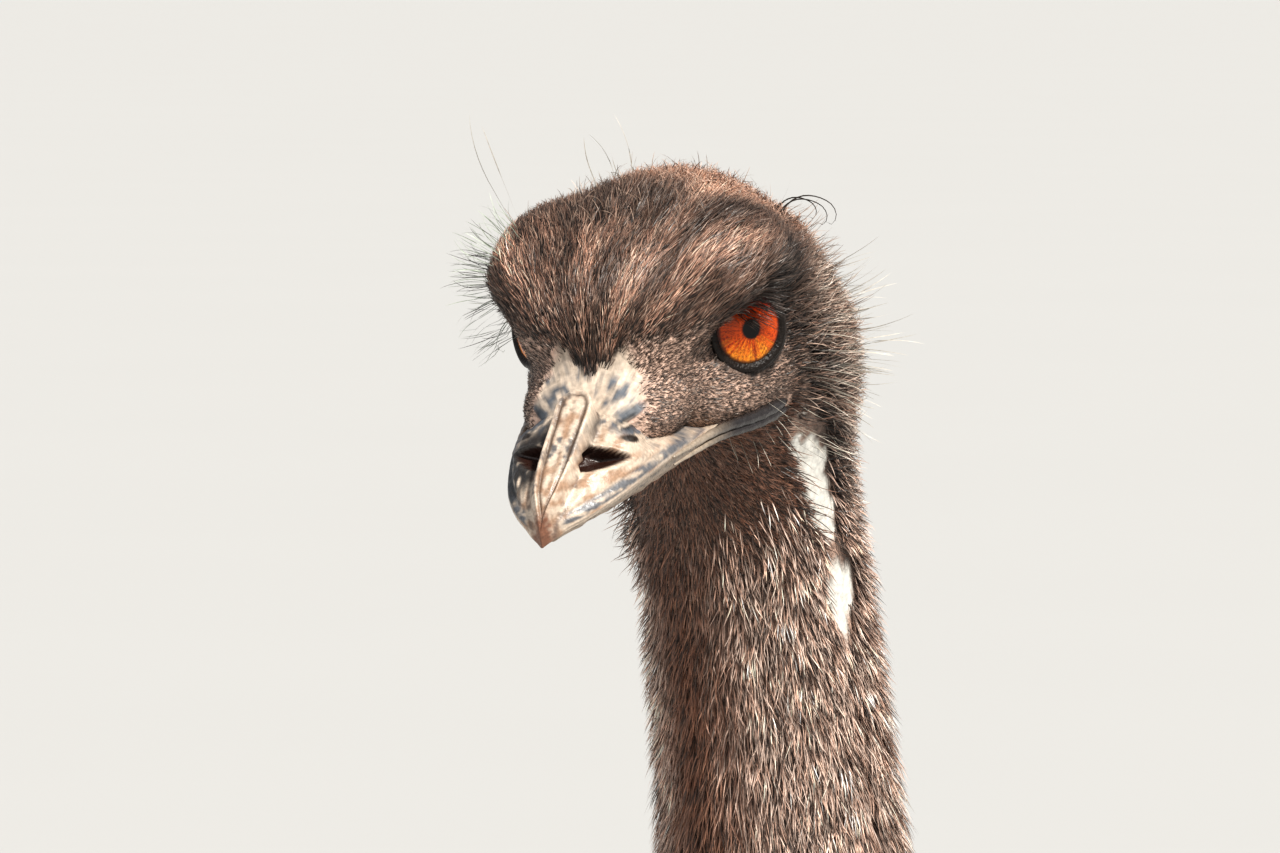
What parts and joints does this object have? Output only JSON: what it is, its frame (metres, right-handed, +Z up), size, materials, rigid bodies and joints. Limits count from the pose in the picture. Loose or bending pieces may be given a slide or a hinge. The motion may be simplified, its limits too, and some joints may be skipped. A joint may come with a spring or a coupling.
{
  "type": "emu",
  "caption": "Standing adult emu with a raised, feathered neck, a broad flat bill, shaggy drooping plumes and long scaled legs.",
  "frame": {"origin": "on the floor, under the middle of the bird's outline", "axes": "+Z up, the bird faces -Y and its left side is +X"},
  "size_m": [0.418, 1.0065, 1.6594],
  "materials": {
    "plumage": "shaggy brown-grey plumes",
    "neck_plumage": "short brown and beige feathers",
    "head_plumage": "short hair-like feathers, dark brown with beige tips",
    "bill": "horn, cream and tan with blue-grey blotches",
    "eye": "wet, orange-red with a black pupil",
    "leg_skin": "scaled grey-brown skin",
    "claw": "dark horn"
  },
  "bodies": {
    "root": {"head": "head_plumage", "bill_upper": "bill", "bill_lower": "bill", "eye_left": "eye", "eye_right": "eye", "torso": "plumage", "neck_upper": "neck_plumage", "neck_middle": "neck_plumage", "neck_lower": "neck_plumage", "tail": "plumage", "wing_left": "plumage", "wing_right": "plumage", "thigh_left": "plumage", "shank_left": "leg_skin", "foot_left": "leg_skin", "toe_inner_left": "leg_skin", "toe_middle_left": "leg_skin", "toe_outer_left": "leg_skin", "claw_inner_left": "claw", "claw_middle_left": "claw", "claw_outer_left": "claw", "thigh_right": "plumage", "shank_right": "leg_skin", "foot_right": "leg_skin", "toe_inner_right": "leg_skin", "toe_middle_right": "leg_skin", "toe_outer_right": "leg_skin", "claw_inner_right": "claw", "claw_middle_right": "claw", "claw_outer_right": "claw"}
  },
  "joints": []
}
